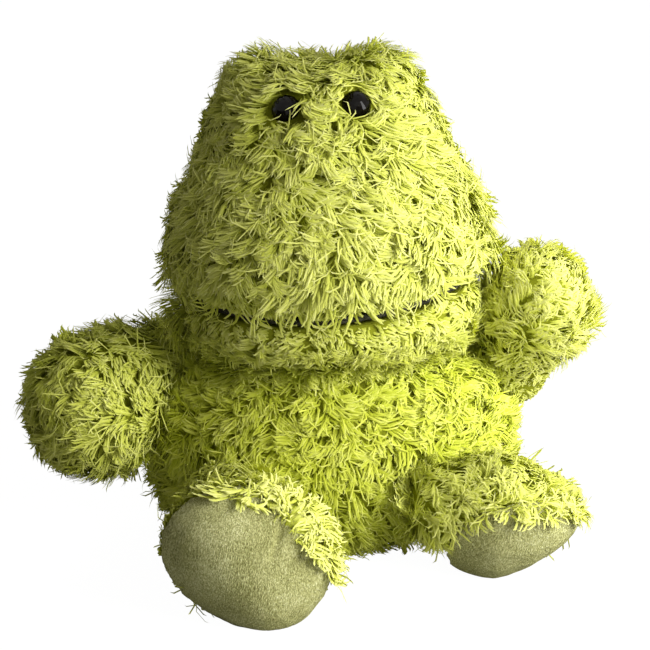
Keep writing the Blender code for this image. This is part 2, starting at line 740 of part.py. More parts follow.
def make_leg(word, rings, place, swing, hip, splay, plane, finishes):
    point, normal = plane
    cutter = body_clearance("leg_" + word, hip, LEG_ROOT_RADIUS, Vector((0, 0, 1)), splay)
    make_limb("leg_" + word, rings, place, swing, finishes["pile"], finishes["stuffing"], cutter, plane)
    sole = stand_on_floor(form_mesh(rings, place, LIMB_SEGMENTS))
    keep_side(sole, point + normal * FIT_GAP, normal)
    add_object("sole_" + word, sole, finishes["velour"], swing)
    return socket_cutter("hip_" + word, hip, LEG_ROOT_RADIUS)


def main():
    clear_scene()
    finishes = {
        "pile": material("pile", PILE_GREEN, 0.9),
        "belly": material("belly_pile", DEEP_GREEN, 0.9),
        "velour": material("velour", SOLE_GREEN, 0.95),
        "felt": material("felt", FELT_GREY, 0.95),
        "stuffing": material("stuffing", STUFFING_WHITE, 1.0),
        "pellets": material("pellet_cloth", PELLET_CLOTH, 0.9),
        "eye": material("eye_black", EYE_BLACK, 0.08),
        "washer": material("washer_white", WASHER_WHITE, 0.4),
    }
    turning = pivot("neck", Vector((0, 0, SHOULDER_HEIGHT)))
    make_head(finishes, turning)
    right_aim = limb_direction(-1, RIGHT_ARM_FORWARD, RIGHT_ARM_RISE)
    left_aim = limb_direction(1, LEFT_ARM_FORWARD, LEFT_ARM_RISE)
    sockets = [
        make_arm("right", -1, RIGHT_ARM_RADIUS, RIGHT_ARM_REACH, right_aim, RIGHT_ARM_SWING, finishes),
        make_arm("left", 1, LEFT_ARM_RADIUS, LEFT_ARM_REACH, left_aim, LEFT_ARM_SWING, finishes),
        make_right_leg(finishes),
        make_left_leg(finishes),
    ]
    make_body(finishes, sockets)


main()
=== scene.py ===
"""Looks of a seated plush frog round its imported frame: shaggy pile, velour, felt and bead eyes.

Metres, +Z up. The frog faces -Y, so its own right side is on -X.
"""

import math

import bpy
import numpy as np
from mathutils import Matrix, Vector
from mathutils.bvhtree import BVHTree
from mathutils.kdtree import KDTree


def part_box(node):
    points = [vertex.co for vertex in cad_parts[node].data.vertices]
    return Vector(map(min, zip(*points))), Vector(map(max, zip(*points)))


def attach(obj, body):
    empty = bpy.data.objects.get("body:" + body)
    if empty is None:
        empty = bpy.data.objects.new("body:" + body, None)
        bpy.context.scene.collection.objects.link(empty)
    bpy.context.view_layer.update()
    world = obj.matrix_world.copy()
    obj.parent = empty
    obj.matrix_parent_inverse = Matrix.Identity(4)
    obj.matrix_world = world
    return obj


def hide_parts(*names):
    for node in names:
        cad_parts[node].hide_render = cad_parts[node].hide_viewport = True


MM = 0.001
RAD = math.radians
PICTURE_SIDE = 650
SENSOR = 36.0

# Camera
CAMERA_TARGET = Vector((-0.0045, -0.020, 0.1025))
CAMERA_DISTANCE = 0.620
CAMERA_RISE = RAD(16)
FOCAL_PIXELS = 1351

# Light. The key is a disk near the right front, and its strength is a sun's at its target. The
# other lamps are soft suns.
KEY_TARGET = Vector((0.0, -0.030, 0.110))
KEY_FROM = Vector((0.778, -0.505, 0.375))
KEY_STRENGTH = 4.6
KEY_DISTANCE = 0.60
KEY_SIZE = 0.40
FILL_FROM = Vector((0.36, -0.85, 0.38))
FILL_STRENGTH = 0.30
BACK_FROM = Vector((-0.35, 0.85, 0.45))
BACK_STRENGTH = 0.8
SOFT_SUN = RAD(60)
SKY_STRENGTH = 0.05
SKY_COLOUR = (1.0, 0.88, 0.80, 1.0)
WHITE = (1, 1, 1, 1)
FLOOR_SIDE = 40.0
FLOOR_WHITE_SHARE = 0.82
FLOOR_GLOW = 1.20

# Backing under the pile, and the finer felt and velour
VOXEL = 2.2 * MM
FINE_VOXEL = 1.0 * MM
BACKING_INSET = 0.8 * MM
WELD = 0.001 * MM

# Strands. Long ones have four rings and short ones three, and each ends in a point. Steps are
# shares of the length, and widths are shares of the full width there.
LONG_STEPS = np.array([0.0, 0.28, 0.58, 0.88, 1.0])
LONG_WIDTHS = np.array([0.8, 1.0, 1.0, 0.92, 0.0])
SHORT_STEPS = np.array([0.0, 0.40, 0.84, 1.0])
SHORT_WIDTHS = np.array([0.85, 1.0, 0.9, 0.0])
STRAND_WIDTH = 0.60 * MM
RIDGE = 0.30
ROOT_DEPTH = 0.6 * MM
LOWEST_POINT = 0.4 * MM
MOST_TRIANGLES = 196000

# A strand's outer corners face mostly as the pile's surface does, by SOFTNESS, and its inner ones
# away from it. The inner side lies between a ring's corners 0 and 1.
SOFTNESS = 0.72
UNDER_SPREAD = 0.4
INNER_CORNERS = {0, 1}

# Where a strand's corners lie on its map: its shade picks a column, and its length runs up it
SHADE_COLUMNS = 48
COLUMN_PLACES = (0.1, 0.9, 0.5)
TIP_PLACE = 0.5
RIDGE_RISE = 0.015
TIP_RISE = 0.995

# How strands vary. Pairs are the spread between locks and within a lock, or the least and most.
LIFT_SPREAD = (RAD(10), RAD(5))
DROOP_SPREAD = (RAD(12), RAD(5))
CURL_SHAPE = 3.0
CURL_SPREAD = RAD(12)
CURL_SIDE_NOISE = 0.5
BEND_POWER = 1.3
GATHER_POWER = 1.1
LOCK_LENGTHS = (0.78, 1.22)
STRAND_LENGTHS = (0.82, 1.12)
FULL_WIDTHS = (1.3, 1.9)
THIN_WIDTHS = (0.9, 1.3)
PALE_SHARE = 0.34
PALER_BY = (0.30, 0.62)
SHADE_SPREAD = (0.10, 0.07)
SHADE_DRIFT = 0.05
MOST_SHADE = 0.999
STRAY_TURN = RAD(48)
STRAY_CURL = 2.0
STRAY_LIFT = RAD(8)
STRAY_GATHER = 0.1
STRAY_LENGTH = 1.12

# Fields of turns and shades are sums of this many waves, of these radians a metre
WAVES = 6
WAVE_NUMBERS = (110, 240)


def srgb(red, green, blue):
    """A colour given as 0 to 255, as the linear values that shaders take."""
    def linear(value):
        value /= 255
        return value / 12.92 if value <= 0.04045 else ((value + 0.055) / 1.055) ** 2.4

    return (linear(red), linear(green), linear(blue), 1.0)


class Value:
    """A number socket that can be added to, multiplied and taken from."""

    def __init__(self, finish, socket):
        self.finish = finish
        self.socket = socket

    def maths(self, operation, *others):
        sockets = dict(enumerate([self, *others]))
        made = self.finish.node("Math", {"operation": operation}, sockets)
        return Value(self.finish, made.outputs[0])

    def __add__(self, other):
        return self.maths("ADD", other)

    def __mul__(self, other):
        return self.maths("MULTIPLY", other)

    def __sub__(self, other):
        return self.maths("SUBTRACT", other)


class Finish:
    """One material and the nodes that make it."""

    def __init__(self, name):
        self.material = bpy.data.materials.new(name)
        self.material.use_nodes = True
        self.tree = self.material.node_tree
        self.shader = self.tree.nodes["Principled BSDF"]

    def node(self, kind, settings, sockets):
        """A new node of this kind, with its settings and what its sockets take."""
        made = self.tree.nodes.new("ShaderNode" + kind)
        for key, value in settings.items():
            if key == "stops":
                ramp = made.color_ramp.elements
                while len(ramp) < len(value):
                    ramp.new(0.5)
                for stop, (place, colour) in zip(ramp, value):
                    stop.position = place
                    stop.color = colour
            else:
                setattr(made, key, value)
        self.feed(made, sockets)
        return made

    def feed(self, made, sockets):
        """Links each socket to its source, or gives it its plain value."""
        for key, value in sockets.items():
            if isinstance(value, Value):
                value = value.socket
            if isinstance(value, bpy.types.NodeSocket):
                self.tree.links.new(value, made.inputs[key])
            else:
                made.inputs[key].default_value = value

    def surface(self, **sockets):
        self.feed(self.shader, {key.replace("_", " "): value for key, value in sockets.items()})

    def ramp(self, factor, stops):
        return self.node("ValToRGB", {"stops": stops}, {"Fac": factor}).outputs["Color"]

    def mix(self, factor, first, second):
        made = self.node("Mix", {"data_type": "RGBA"}, {0: factor, 6: first, 7: second})
        return made.outputs[2]

    def noise(self, scale, detail=3.0, roughness=0.55, vector=None):
        sockets = {"Scale": scale, "Detail": detail, "Roughness": roughness}
        if vector is None:
            vector = self.node("TexCoord", {}, {}).outputs["Object"]
        sockets["Vector"] = vector
        return Value(self, self.node("TexNoise", {}, sockets).outputs["Fac"])

    def bump(self, height, strength, distance):
        sockets = {"Strength": strength, "Distance": distance, "Height": height}
        self.feed(self.shader, {"Normal": self.node("Bump", {}, sockets).outputs["Normal"]})


def pile_finish(name, deep, pale):
    """Strand colour between a deep and a pale version, by the strands' map; from root to tip it
    runs darker to paler, partly the fibres' own tone and partly painted shade at the roots and
    painted highlight at the tips.
    """
    made = Finish(name)
    chart = made.node("UVMap", {"uv_map": "OFBake"}, {}).outputs["UV"]
    parts = made.node("SeparateXYZ", {}, {"Vector": chart})
    along = parts.outputs["Y"]
    shade = parts.outputs["X"]
    places = (0.0, 0.3, 0.65, 1.0)
    deep_colour = made.ramp(along, list(zip(places, deep)))
    pale_colour = made.ramp(along, list(zip(places, pale)))
    made.surface(
        Base_Color=made.mix(shade, deep_colour, pale_colour),
        Roughness=0.8,
        Specular_IOR_Level=0.03,
    )
    return made.material


def backing_finish():
    """Knitted cloth in the pile's olive, kept darker than the pile as painted shade between
    strands, which shows only between strands.
    """
    made = Finish("knitted backing")
    # Painted shade: the backing's olive is darker than the pile, for the shade down between
    # strands
    patches = made.noise(220)
    made.surface(
        Base_Color=made.mix(patches, srgb(120, 124, 24), srgb(160, 166, 46)),
        Roughness=0.95,
        Specular_IOR_Level=0.05,
    )
    made.bump(made.noise(1400), 0.5, 0.3 * MM)
    return made.material


def velour_finish():
    """Short nap that leans, in sage green: fine grain over broad soft patches."""
    made = Finish("sage velour")
    place = made.node("TexCoord", {}, {}).outputs["Object"]
    lean = (0, RAD(22), 0)
    settings = {"vector_type": "TEXTURE"}
    sockets = {"Vector": place, "Rotation": lean, "Scale": (1, 1, 2.6)}
    nap = made.node("Mapping", settings, sockets).outputs["Vector"]
    grain = made.noise(1900, detail=2.0, roughness=0.6, vector=nap)
    fine = made.noise(3600, detail=2.0, roughness=0.6, vector=nap)
    patch = made.noise(60, roughness=0.5)
    mottle = (grain * 0.5 + fine * 0.3 + patch * 0.2 - 0.36) * 3.6
    stops = [
        (0.0, srgb(126, 125, 68)),
        (0.35, srgb(176, 175, 108)),
        (0.68, srgb(220, 219, 150)),
        (1.0, srgb(247, 247, 192)),
    ]
    made.surface(Base_Color=made.ramp(mottle, stops), Roughness=0.9, Specular_IOR_Level=0.1)
    made.bump(grain + fine, 1.0, 0.7 * MM)
    return made.material


def felt_finish():
    """Matted dark grey fibres with paler flecks."""
    made = Finish("dark felt")
    fibres = made.noise(1300, detail=4.0, roughness=0.7)
    flecks = (fibres - 0.36) * 3.4
    made.surface(
        Base_Color=made.mix(flecks, srgb(22, 22, 16), srgb(96, 95, 78)),
        Roughness=0.97,
        Specular_IOR_Level=0.1,
    )
    made.bump(fibres, 0.7, 0.4 * MM)
    return made.material


def eye_finish():
    """Polished black plastic with a faint haze of handling."""
    made = Finish("glossy black bead")
    haze = made.noise(260)
    made.surface(
        Base_Color=made.mix(haze, srgb(9, 8, 6), srgb(18, 14, 9)),
        Roughness=haze * 0.06 + 0.05,
        Specular_IOR_Level=0.12,
    )
    return made.material


def washer_finish():
    """White plastic as it leaves the mould."""
    made = Finish("moulded white plastic")
    grain = made.noise(700)
    made.surface(
        Base_Color=made.mix(grain, srgb(196, 196, 192), srgb(222, 222, 218)),
        Roughness=grain * 0.2 + 0.4,
    )
    return made.material


def place_camera():
    """The photo's camera: in front of the frog and a little above it."""
    back = Vector((0, -math.cos(CAMERA_RISE), math.sin(CAMERA_RISE)))
    data = bpy.data.cameras.new("camera")
    camera = bpy.data.objects.new("camera", data)
    bpy.context.scene.collection.objects.link(camera)
    camera.location = CAMERA_TARGET + back * CAMERA_DISTANCE
    camera.rotation_euler = back.to_track_quat("Z", "Y").to_euler()
    data.sensor_width = SENSOR
    data.lens = SENSOR * FOCAL_PIXELS / PICTURE_SIDE
    data.clip_start = CAMERA_DISTANCE / 100
    bpy.context.scene.camera = camera


def light_studio():
    """The lamps, a dim world that the camera sees as white, and a pale floor."""
    key = bpy.data.lights.new("key", "AREA")
    key.shape = "DISK"
    key.size = KEY_SIZE
    key.energy = KEY_STRENGTH * math.pi * KEY_DISTANCE**2
    fill = bpy.data.lights.new("fill", "SUN")
    fill.energy = FILL_STRENGTH
    back = bpy.data.lights.new("back", "SUN")
    back.energy = BACK_STRENGTH
    fill.angle = back.angle = SOFT_SUN
    for data, place in ((key, KEY_FROM), (fill, FILL_FROM), (back, BACK_FROM)):
        lamp = bpy.data.objects.new(data.name, data)
        lamp.location = KEY_TARGET + place.normalized() * KEY_DISTANCE
        lamp.rotation_euler = place.to_track_quat("Z", "Y").to_euler()
        lamp.visible_camera = False
        bpy.context.scene.collection.objects.link(lamp)

    world = bpy.data.worlds.new("studio")
    world.use_nodes = True
    bpy.context.scene.world = world
    nodes, links = world.node_tree.nodes, world.node_tree.links
    nodes.clear()
    sky = nodes.new("ShaderNodeBackground")
    sky.inputs["Strength"].default_value = SKY_STRENGTH
    sky.inputs["Color"].default_value = SKY_COLOUR
    seen = nodes.new("ShaderNodeBackground")
    seen.inputs["Color"].default_value = WHITE
    path = nodes.new("ShaderNodeLightPath")
    either = nodes.new("ShaderNodeMath")
    either.operation = "MAXIMUM"
    links.new(path.outputs["Is Camera Ray"], either.inputs[0])
    links.new(path.outputs["Is Glossy Ray"], either.inputs[1])
    mixed = nodes.new("ShaderNodeMixShader")
    links.new(either.outputs[0], mixed.inputs[0])
    links.new(sky.outputs[0], mixed.inputs[1])
    links.new(seen.outputs[0], mixed.inputs[2])
    out = nodes.new("ShaderNodeOutputWorld")
    links.new(mixed.outputs[0], out.inputs["Surface"])
    bpy.context.scene.view_settings.view_transform = "Standard"

    bpy.ops.object.select_all(action="DESELECT")
    bpy.ops.mesh.primitive_plane_add(size=FLOOR_SIDE, location=(0, 0, 0))
    floor = bpy.context.object
    floor.name = "floor"
    made = Finish("pale floor")
    made.surface(Base_Color=srgb(160, 160, 159), Roughness=0.9)
    glow = made.node("Emission", {}, {"Color": WHITE, "Strength": FLOOR_GLOW})
    path = made.node("LightPath", {}, {})
    white = Value(made, path.outputs["Is Camera Ray"]) * FLOOR_WHITE_SHARE
    both = made.node(
        "MixShader", {}, {0: white, 1: made.shader.outputs[0], 2: glow.outputs[0]}
    )
    made.tree.links.new(both.outputs[0], made.tree.nodes["Material Output"].inputs["Surface"])
    floor.data.materials.append(made.material)


def only(obj):
    """Selects this object alone and makes it the active one."""
    bpy.ops.object.select_all(action="DESELECT")
    obj.select_set(True)
    bpy.context.view_layer.objects.active = obj


def merged_copy(name, nodes):
    """The CAD nodes' shapes as one mesh at rest, with their loose triangles joined."""
    copies = []
    for node in nodes:
        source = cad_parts[node]
        copied = bpy.data.objects.new(name, source.data.copy())
        bpy.context.scene.collection.objects.link(copied)
        copied.data.materials.clear()
        copied.data.transform(source.matrix_world)
        copies.append(copied)
    bpy.ops.object.select_all(action="DESELECT")
    for copied in copies:
        copied.select_set(True)
    bpy.context.view_layer.objects.active = copies[0]
    if len(copies) > 1:
        bpy.ops.object.join()
    bpy.ops.object.mode_set(mode="EDIT")
    bpy.ops.mesh.select_all(action="SELECT")
    bpy.ops.mesh.remove_doubles(threshold=WELD)
    bpy.ops.object.mode_set(mode="OBJECT")
    copies[0].name = name
    return copies[0]


def apply_modifier(obj, kind, **settings):
    """Changes an object's mesh by one modifier."""
    only(obj)
    modifier = obj.modifiers.new(kind.lower(), kind)
    for key, value in settings.items():
        setattr(modifier, key, value)
    bpy.ops.object.modifier_apply(modifier=modifier.name)


def keep_largest(obj):
    """Deletes every loose part but the largest."""
    mesh = obj.data
    count = len(mesh.vertices)
    ends = np.empty(len(mesh.edges) * 2, int)
    mesh.edges.foreach_get("vertices", ends)
    ends = ends.reshape(-1, 2)
    group = np.arange(count)
    while True:
        least = group.copy()
        np.minimum.at(least, ends[:, 0], group[ends[:, 1]])
        np.minimum.at(least, ends[:, 1], group[ends[:, 0]])
        least = least[least]
        if (least == group).all():
            break
        group = least
    labels, sizes = np.unique(group, return_counts=True)
    keep = group == labels[sizes.argmax()]
    if keep.all():
        return
    only(obj)
    bpy.ops.object.mode_set(mode="EDIT")
    bpy.ops.mesh.select_all(action="DESELECT")
    bpy.ops.object.mode_set(mode="OBJECT")
    mesh.vertices.foreach_set("select", ~keep)
    bpy.ops.object.mode_set(mode="EDIT")
    bpy.ops.mesh.delete(type="VERT")
    bpy.ops.object.mode_set(mode="OBJECT")


def vertex_arrays(obj):
    """An object's vertices and their normals."""
    mesh = obj.data
    points = np.empty(len(mesh.vertices) * 3)
    normals = np.empty(len(mesh.vertices) * 3)
    mesh.vertices.foreach_get("co", points)
    mesh.vertices.foreach_get("normal", normals)
    return points.reshape(-1, 3), normals.reshape(-1, 3)


def move_vertices(obj, points):
    obj.data.vertices.foreach_set("co", points.ravel())
    obj.data.update()


def stuffed_form(name, nodes, voxel=VOXEL, inset=BACKING_INSET, rounds=6):
    """One rounded closed form round CAD nodes, a little inside them."""
    form = merged_copy(name, nodes)
    apply_modifier(form, "REMESH", mode="VOXEL", voxel_size=voxel)
    keep_largest(form)
    apply_modifier(form, "SMOOTH", factor=0.5, iterations=rounds)
    points, normals = vertex_arrays(form)
    move_vertices(form, points - normals * inset)
    form.data.shade_smooth()
    return form


def dress(obj, body, finish, nodes=()):
    """Gives a piece its finish, its body and the CAD nodes it stands for."""
    obj.data.materials.append(finish)
    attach(obj, body)
    if nodes:
        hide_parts(*nodes)
    return obj


def unit(vectors):
    """The same ways, each of length 1."""
    return vectors / np.maximum(np.linalg.norm(vectors, axis=-1, keepdims=True), 1e-12)


def swirl(points, seed):
    """A smooth field of turns, in radians, that varies over a few centimetres."""
    rng = np.random.default_rng(seed)
    total = np.zeros(len(points))
    for _ in range(WAVES):
        wave = rng.normal(size=3)
        wave *= rng.uniform(*WAVE_NUMBERS) / np.linalg.norm(wave)
        total += np.sin(points @ wave + rng.uniform(0, math.tau))
    return total / math.sqrt(WAVES / 2)


def rooted(form, density, rng):
    """Even random roots over a form: their points and normals."""
    mesh = form.data
    mesh.calc_loop_triangles()
    corners = np.empty(len(mesh.loop_triangles) * 3, int)
    mesh.loop_triangles.foreach_get("vertices", corners)
    corners = corners.reshape(-1, 3)
    points, normals = vertex_arrays(form)
    a, b, c = (points[corners[:, k]] for k in range(3))
    areas = np.linalg.norm(np.cross(b - a, c - a), axis=1) / 2
    centres = (a + b + c) / 3
    weights = areas * density(centres)
    count = int(weights.sum())
    chosen = rng.choice(len(areas), count, p=weights / weights.sum())
    u, v = rng.random((2, count))
    over = u + v > 1
    u[over], v[over] = 1 - u[over], 1 - v[over]
    shares = np.stack([1 - u - v, u, v], axis=1)[:, :, None]
    places = (points[corners[chosen]] * shares).sum(axis=1)
    facing = unit((normals[corners[chosen]] * shares).sum(axis=1))
    return places, facing


def turned(vectors, axes, angles):
    """Each vector, square to its axis, turned about it."""
    cosine, sine = np.cos(angles)[:, None], np.sin(angles)[:, None]
    return vectors * cosine + np.cross(axes, vectors) * sine


class Pile:
    """How one region's pile grows. Lengths in metres, angles in radians."""

    def __init__(
        self, length, lift, droop, curl, wander, gather, lock_strands, strays, shade, long=True
    ):
        self.length = length
        self.lift = lift
        self.droop = droop
        self.curl = curl
        self.wander = wander
        self.gather = gather
        self.lock_strands = lock_strands
        self.strays = strays
        self.shade = shade
        self.steps = LONG_STEPS if long else SHORT_STEPS
        self.widths = LONG_WIDTHS if long else SHORT_WIDTHS


def strand_curves(places, facing, source, pile, seed, longest, growth):
    """The centre line of each strand, the way its root faces, its width and its shade."""
    rng = np.random.default_rng(seed)
    count = len(places)
    locks = max(1, count // pile.lock_strands)
    centre = rng.choice(count, locks, replace=False)
    tree = KDTree(locks)
    for index, place in enumerate(places[centre]):
        tree.insert(place, index)
    tree.balance()
    lock = np.array([tree.find(place)[1] for place in places])

    flow = places - np.array(source)
    flow -= (flow * facing).sum(axis=1, keepdims=True) * facing
    flow = unit(flow)
    field = swirl(places, seed + 1) * pile.wander

    def per_lock(values):
        return values[lock]

    turn = per_lock(rng.normal(0, pile.wander, locks)) + field
    lift = per_lock(rng.normal(pile.lift, LIFT_SPREAD[0], locks))
    lift += rng.normal(0, LIFT_SPREAD[1], count)
    droop = per_lock(rng.normal(pile.droop, DROOP_SPREAD[0], locks))
    droop += rng.normal(0, DROOP_SPREAD[1], count)
    sided = swirl(places[centre], seed + 3) + rng.normal(0, CURL_SIDE_NOISE, locks)
    bends = rng.gamma(CURL_SHAPE, pile.curl / CURL_SHAPE, locks)
    curl = per_lock(np.where(sided < 0, -1, 1) * bends) + rng.normal(0, CURL_SPREAD, count)
    length = pile.length * per_lock(rng.uniform(*LOCK_LENGTHS, locks))
    length *= rng.uniform(*STRAND_LENGTHS, count)
    length *= growth
    gather = np.full(count, pile.gather)
    stray = rng.random(count) < pile.strays
    strayed = int(stray.sum())
    turn[stray] += rng.normal(0, STRAY_TURN, strayed)
    curl[stray] = rng.normal(0, STRAY_CURL * pile.curl, strayed)
    lift[stray] += STRAY_LIFT
    gather[stray] = STRAY_GATHER
    length[stray] *= STRAY_LENGTH
    length = np.minimum(length, longest)

    flow = turned(flow, facing, turn)
    across = np.cross(facing, flow)
    curve = [places - facing * ROOT_DEPTH]
    for low, high in zip(pile.steps, pile.steps[1:]):
        middle = (low + high) / 2
        rise = lift * (1 - middle) + droop * middle
        bend = curl * middle**BEND_POWER
        level = flow * np.cos(bend)[:, None] + across * np.sin(bend)[:, None]
        step = level * np.cos(rise)[:, None] + facing * np.sin(rise)[:, None]
        curve.append(curve[-1] + step * (length * (high - low))[:, None])
    curve = np.stack(curve, axis=1)
    offset = places - places[centre][lock]
    pull = gather[:, None] * pile.steps[None, :] ** GATHER_POWER
    curve -= offset[:, None, :] * pull[:, :, None]

    thin = stray | (rng.random(count) < PALE_SHARE)
    thin_widths = rng.uniform(*THIN_WIDTHS, count)
    full_widths = rng.uniform(*FULL_WIDTHS, count)
    width = STRAND_WIDTH * np.where(thin, thin_widths, full_widths)
    shade = per_lock(rng.normal(0, SHADE_SPREAD[0], locks))
    shade += rng.normal(pile.shade, SHADE_SPREAD[1], count)
    shade += swirl(places, seed + 2) * SHADE_DRIFT
    shade[thin] += rng.uniform(*PALER_BY, int(thin.sum()))
    return curve, facing, width, np.clip(shade, 0, MOST_SHADE)


def strand_faces(rings):
    """One strand's triangles, all facing out, and which of them lie on its inner side."""
    faces = []
    for level in range(rings - 1):
        for corner in range(3):
            after = (corner + 1) % 3
            low, high = level * 3, level * 3 + 3
            faces.append((low + corner, high + after, low + after))
            faces.append((low + corner, high + corner, high + after))
    inner = [{corner % 3 for corner in face} <= INNER_CORNERS for face in faces]
    top = (rings - 1) * 3
    for corner in range(3):
        faces.append((top + corner, rings * 3, top + (corner + 1) % 3))
    faces.append((0, 1, 2))
    inner += [True, False, False, True]
    return np.array(faces), np.array(inner)


def strand_map(shade, steps, faces):
    """Where each corner of each strand lies on the strands' map."""
    rings = len(steps) - 1
    column = np.floor(shade * SHADE_COLUMNS) / SHADE_COLUMNS
    u = np.append(np.tile(COLUMN_PLACES, rings), TIP_PLACE) / SHADE_COLUMNS
    v = np.repeat(steps[:rings], 3) + np.tile([0.0, 0.0, RIDGE_RISE], rings)
    v = np.append(v, TIP_RISE)
    chart = np.empty((len(shade), faces.size, 2))
    chart[:, :, 0] = column[:, None] + u[faces.reshape(-1)][None]
    chart[:, :, 1] = v[faces.reshape(-1)][None]
    return chart


def strand_mesh(name, pile, curve, facing, width, shade):
    """Closed three-sided tapered strands as one object, lit much as the pile's surface is."""
    count, levels = curve.shape[:2]
    along = unit(np.gradient(curve, axis=1))
    side = unit(np.cross(along, facing[:, None, :]))
    up = np.cross(side, along)
    rings = levels - 1
    half = (width[:, None] * pile.widths[None, :rings] / 2)[:, :, None]
    body = curve[:, :rings]
    left = body - side[:, :rings] * half
    right = body + side[:, :rings] * half
    ridge = body + up[:, :rings] * half * RIDGE
    ringed = np.stack([left, right, ridge], axis=2).reshape(count, rings * 3, 3)
    points = np.concatenate([ringed, curve[:, -1:]], axis=1).reshape(-1, 3)

    rounded = np.stack([-side[:, :rings], side[:, :rings], up[:, :rings]], axis=2)
    rounded = np.concatenate([rounded.reshape(count, rings * 3, 3), up[:, -1:]], axis=1)
    soft = unit(facing[:, None, :] * SOFTNESS + rounded * (1 - SOFTNESS))
    above = np.concatenate([np.repeat(up[:, :rings], 3, axis=1), up[:, -1:]], axis=1)
    under = unit(rounded * UNDER_SPREAD - above)

    faces, inner = strand_faces(rings)
    flat = faces.reshape(-1)
    size = rings * 3 + 1
    corners = (faces[None] + (np.arange(count) * size)[:, None, None]).reshape(-1)
    inside = np.repeat(inner, 3)[None, :, None]
    normals = np.where(inside, under[:, flat], soft[:, flat]).reshape(-1, 3)

    mesh = bpy.data.meshes.new(name)
    mesh.vertices.add(len(points))
    mesh.vertices.foreach_set("co", points.ravel())
    mesh.loops.add(len(corners))
    mesh.loops.foreach_set("vertex_index", corners)
    mesh.polygons.add(len(corners) // 3)
    mesh.polygons.foreach_set("loop_start", np.arange(0, len(corners), 3))
    mesh.polygons.foreach_set("loop_total", np.full(len(corners) // 3, 3))
    layer = mesh.uv_layers.new(name="OFBake")
    layer.data.foreach_set("uv", strand_map(shade, pile.steps, faces).reshape(-1))
    mesh.update(calc_edges=True)
    mesh.shade_smooth()
    mesh.normals_split_custom_set(normals)
    obj = bpy.data.objects.new(name, mesh)
    bpy.context.scene.collection.objects.link(obj)
    return obj


def tree_of(form):
    """A form's surface, held so that what is nearest or in the way is found fast."""
    points, _ = vertex_arrays(form)
    polygons = [tuple(face.vertices) for face in form.data.polygons]
    return BVHTree.FromPolygons([tuple(p) for p in points], polygons)


def free_roots(places, facing, others, reach):
    """Which roots have room: no other form lies over them within reach, or holds them."""
    free = np.ones(len(places), bool)
    for index, (place, normal) in enumerate(zip(places, facing)):
        start = Vector(place)
        for other in others:
            near, outward, _, _ = other.find_nearest(start, reach * 2)
            if near is not None and (start - near).dot(outward) < 0:
                free[index] = False
                break
            if near is not None and other.ray_cast(start, Vector(normal), reach)[0] is not None:
                free[index] = False
                break
    return free


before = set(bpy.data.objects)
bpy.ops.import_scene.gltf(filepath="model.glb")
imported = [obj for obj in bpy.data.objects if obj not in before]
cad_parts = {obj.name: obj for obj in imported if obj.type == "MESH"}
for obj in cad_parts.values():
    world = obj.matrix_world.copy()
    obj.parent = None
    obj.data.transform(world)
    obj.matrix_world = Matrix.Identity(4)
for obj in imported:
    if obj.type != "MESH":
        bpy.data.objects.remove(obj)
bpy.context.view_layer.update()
place_camera()
light_studio()

# Pile colours from root to tip: the darker roots are partly painted shade between strands, and
# the paler tips partly painted highlight
DEEP_PILE = [srgb(150, 156, 44), srgb(188, 195, 68), srgb(210, 216, 88), srgb(222, 227, 102)]
PALE_PILE = [srgb(172, 178, 52), srgb(226, 232, 98), srgb(248, 251, 134), srgb(253, 254, 166)]
DEEP_BELLY = [srgb(134, 142, 26), srgb(176, 185, 46), srgb(202, 211, 62), srgb(215, 223, 76)]
PALE_BELLY = [srgb(156, 164, 32), srgb(216, 225, 70), srgb(245, 249, 110), srgb(250, 253, 146)]

finishes = {
    "pile": pile_finish("pale shaggy pile", DEEP_PILE, PALE_PILE),
    "belly": pile_finish("green shaggy pile", DEEP_BELLY, PALE_BELLY),
    "backing": backing_finish(),
    "velour": velour_finish(),
    "felt": felt_finish(),
    "eye": eye_finish(),
    "washer": washer_finish(),
}

# Each form: its name, its body, a slot name that nothing here reads, and the CAD nodes it stands
# for
FORMS = {
    "head": ("head", "pile", ["head_cover", "head_filling"]),
    "jaw": ("head", "pile", ["jaw_cover", "jaw_filling"]),
    "body": ("body", "belly_pile", ["body_cover", "body_filling", "pellet_bag"]),
    "arm_right": ("arm_right", "pile", ["arm_right_cover", "arm_right_filling"]),
    "arm_left": ("arm_left", "pile", ["arm_left_cover", "arm_left_filling"]),
    "leg_right": ("leg_right", "pile", ["leg_right_cover", "leg_right_filling"]),
    "leg_left": ("leg_left", "pile", ["leg_left_cover", "leg_left_filling"]),
}
forms = {}
for name, (body, slot, nodes) in FORMS.items():
    form = stuffed_form(name + "_backing", nodes)
    forms[name] = dress(form, body, finishes["backing"], nodes)

# The soles, each with its middle, the way it faces, and the edge that its velour has under the
# pile. The edge's points are across and up from the middle, in millimetres, seen from the front.
SOLES = {
    "right": (
        Vector((-0.0348, -0.1147, 0.0313)),
        Vector((0.2588, -0.9659, 0)),
        (
            (-48, -16), (-41, -2), (-36.5, 14), (-34, 21), (-27, 26), (-17.5, 29), (-7, 26),
            (6, 22.5), (12, 17), (13, 13), (19.5, 6), (29, -3), (33, -11), (36, -20), (40, -40),
        ),
    ),
    "left": (
        Vector((0.0816, -0.0690, 0.0215)),
        Vector((0.191, -0.826, -0.530)),
        (
            (-38, -14), (-35, -3), (-31, 5), (-25, 12), (-18, 16.5), (-8, 18.5), (3, 18.5),
            (12, 17), (21, 13), (30, 4), (36, -10),
        ),
    ),
}

# The right foot's low outer corner sags back, in millimetres, from a line across the sole
SAG = 11.0
SAG_LINE = (0.87, 0.5, 4)
SAG_RUN = 40
SAG_MOST = 1.2
SAG_REACH = 34
SAG_TOP = 30

# A pucker grows over this many millimetres and fades from this share of its length
PUCKER_START = 3
PUCKER_FADES_FROM = 0.4


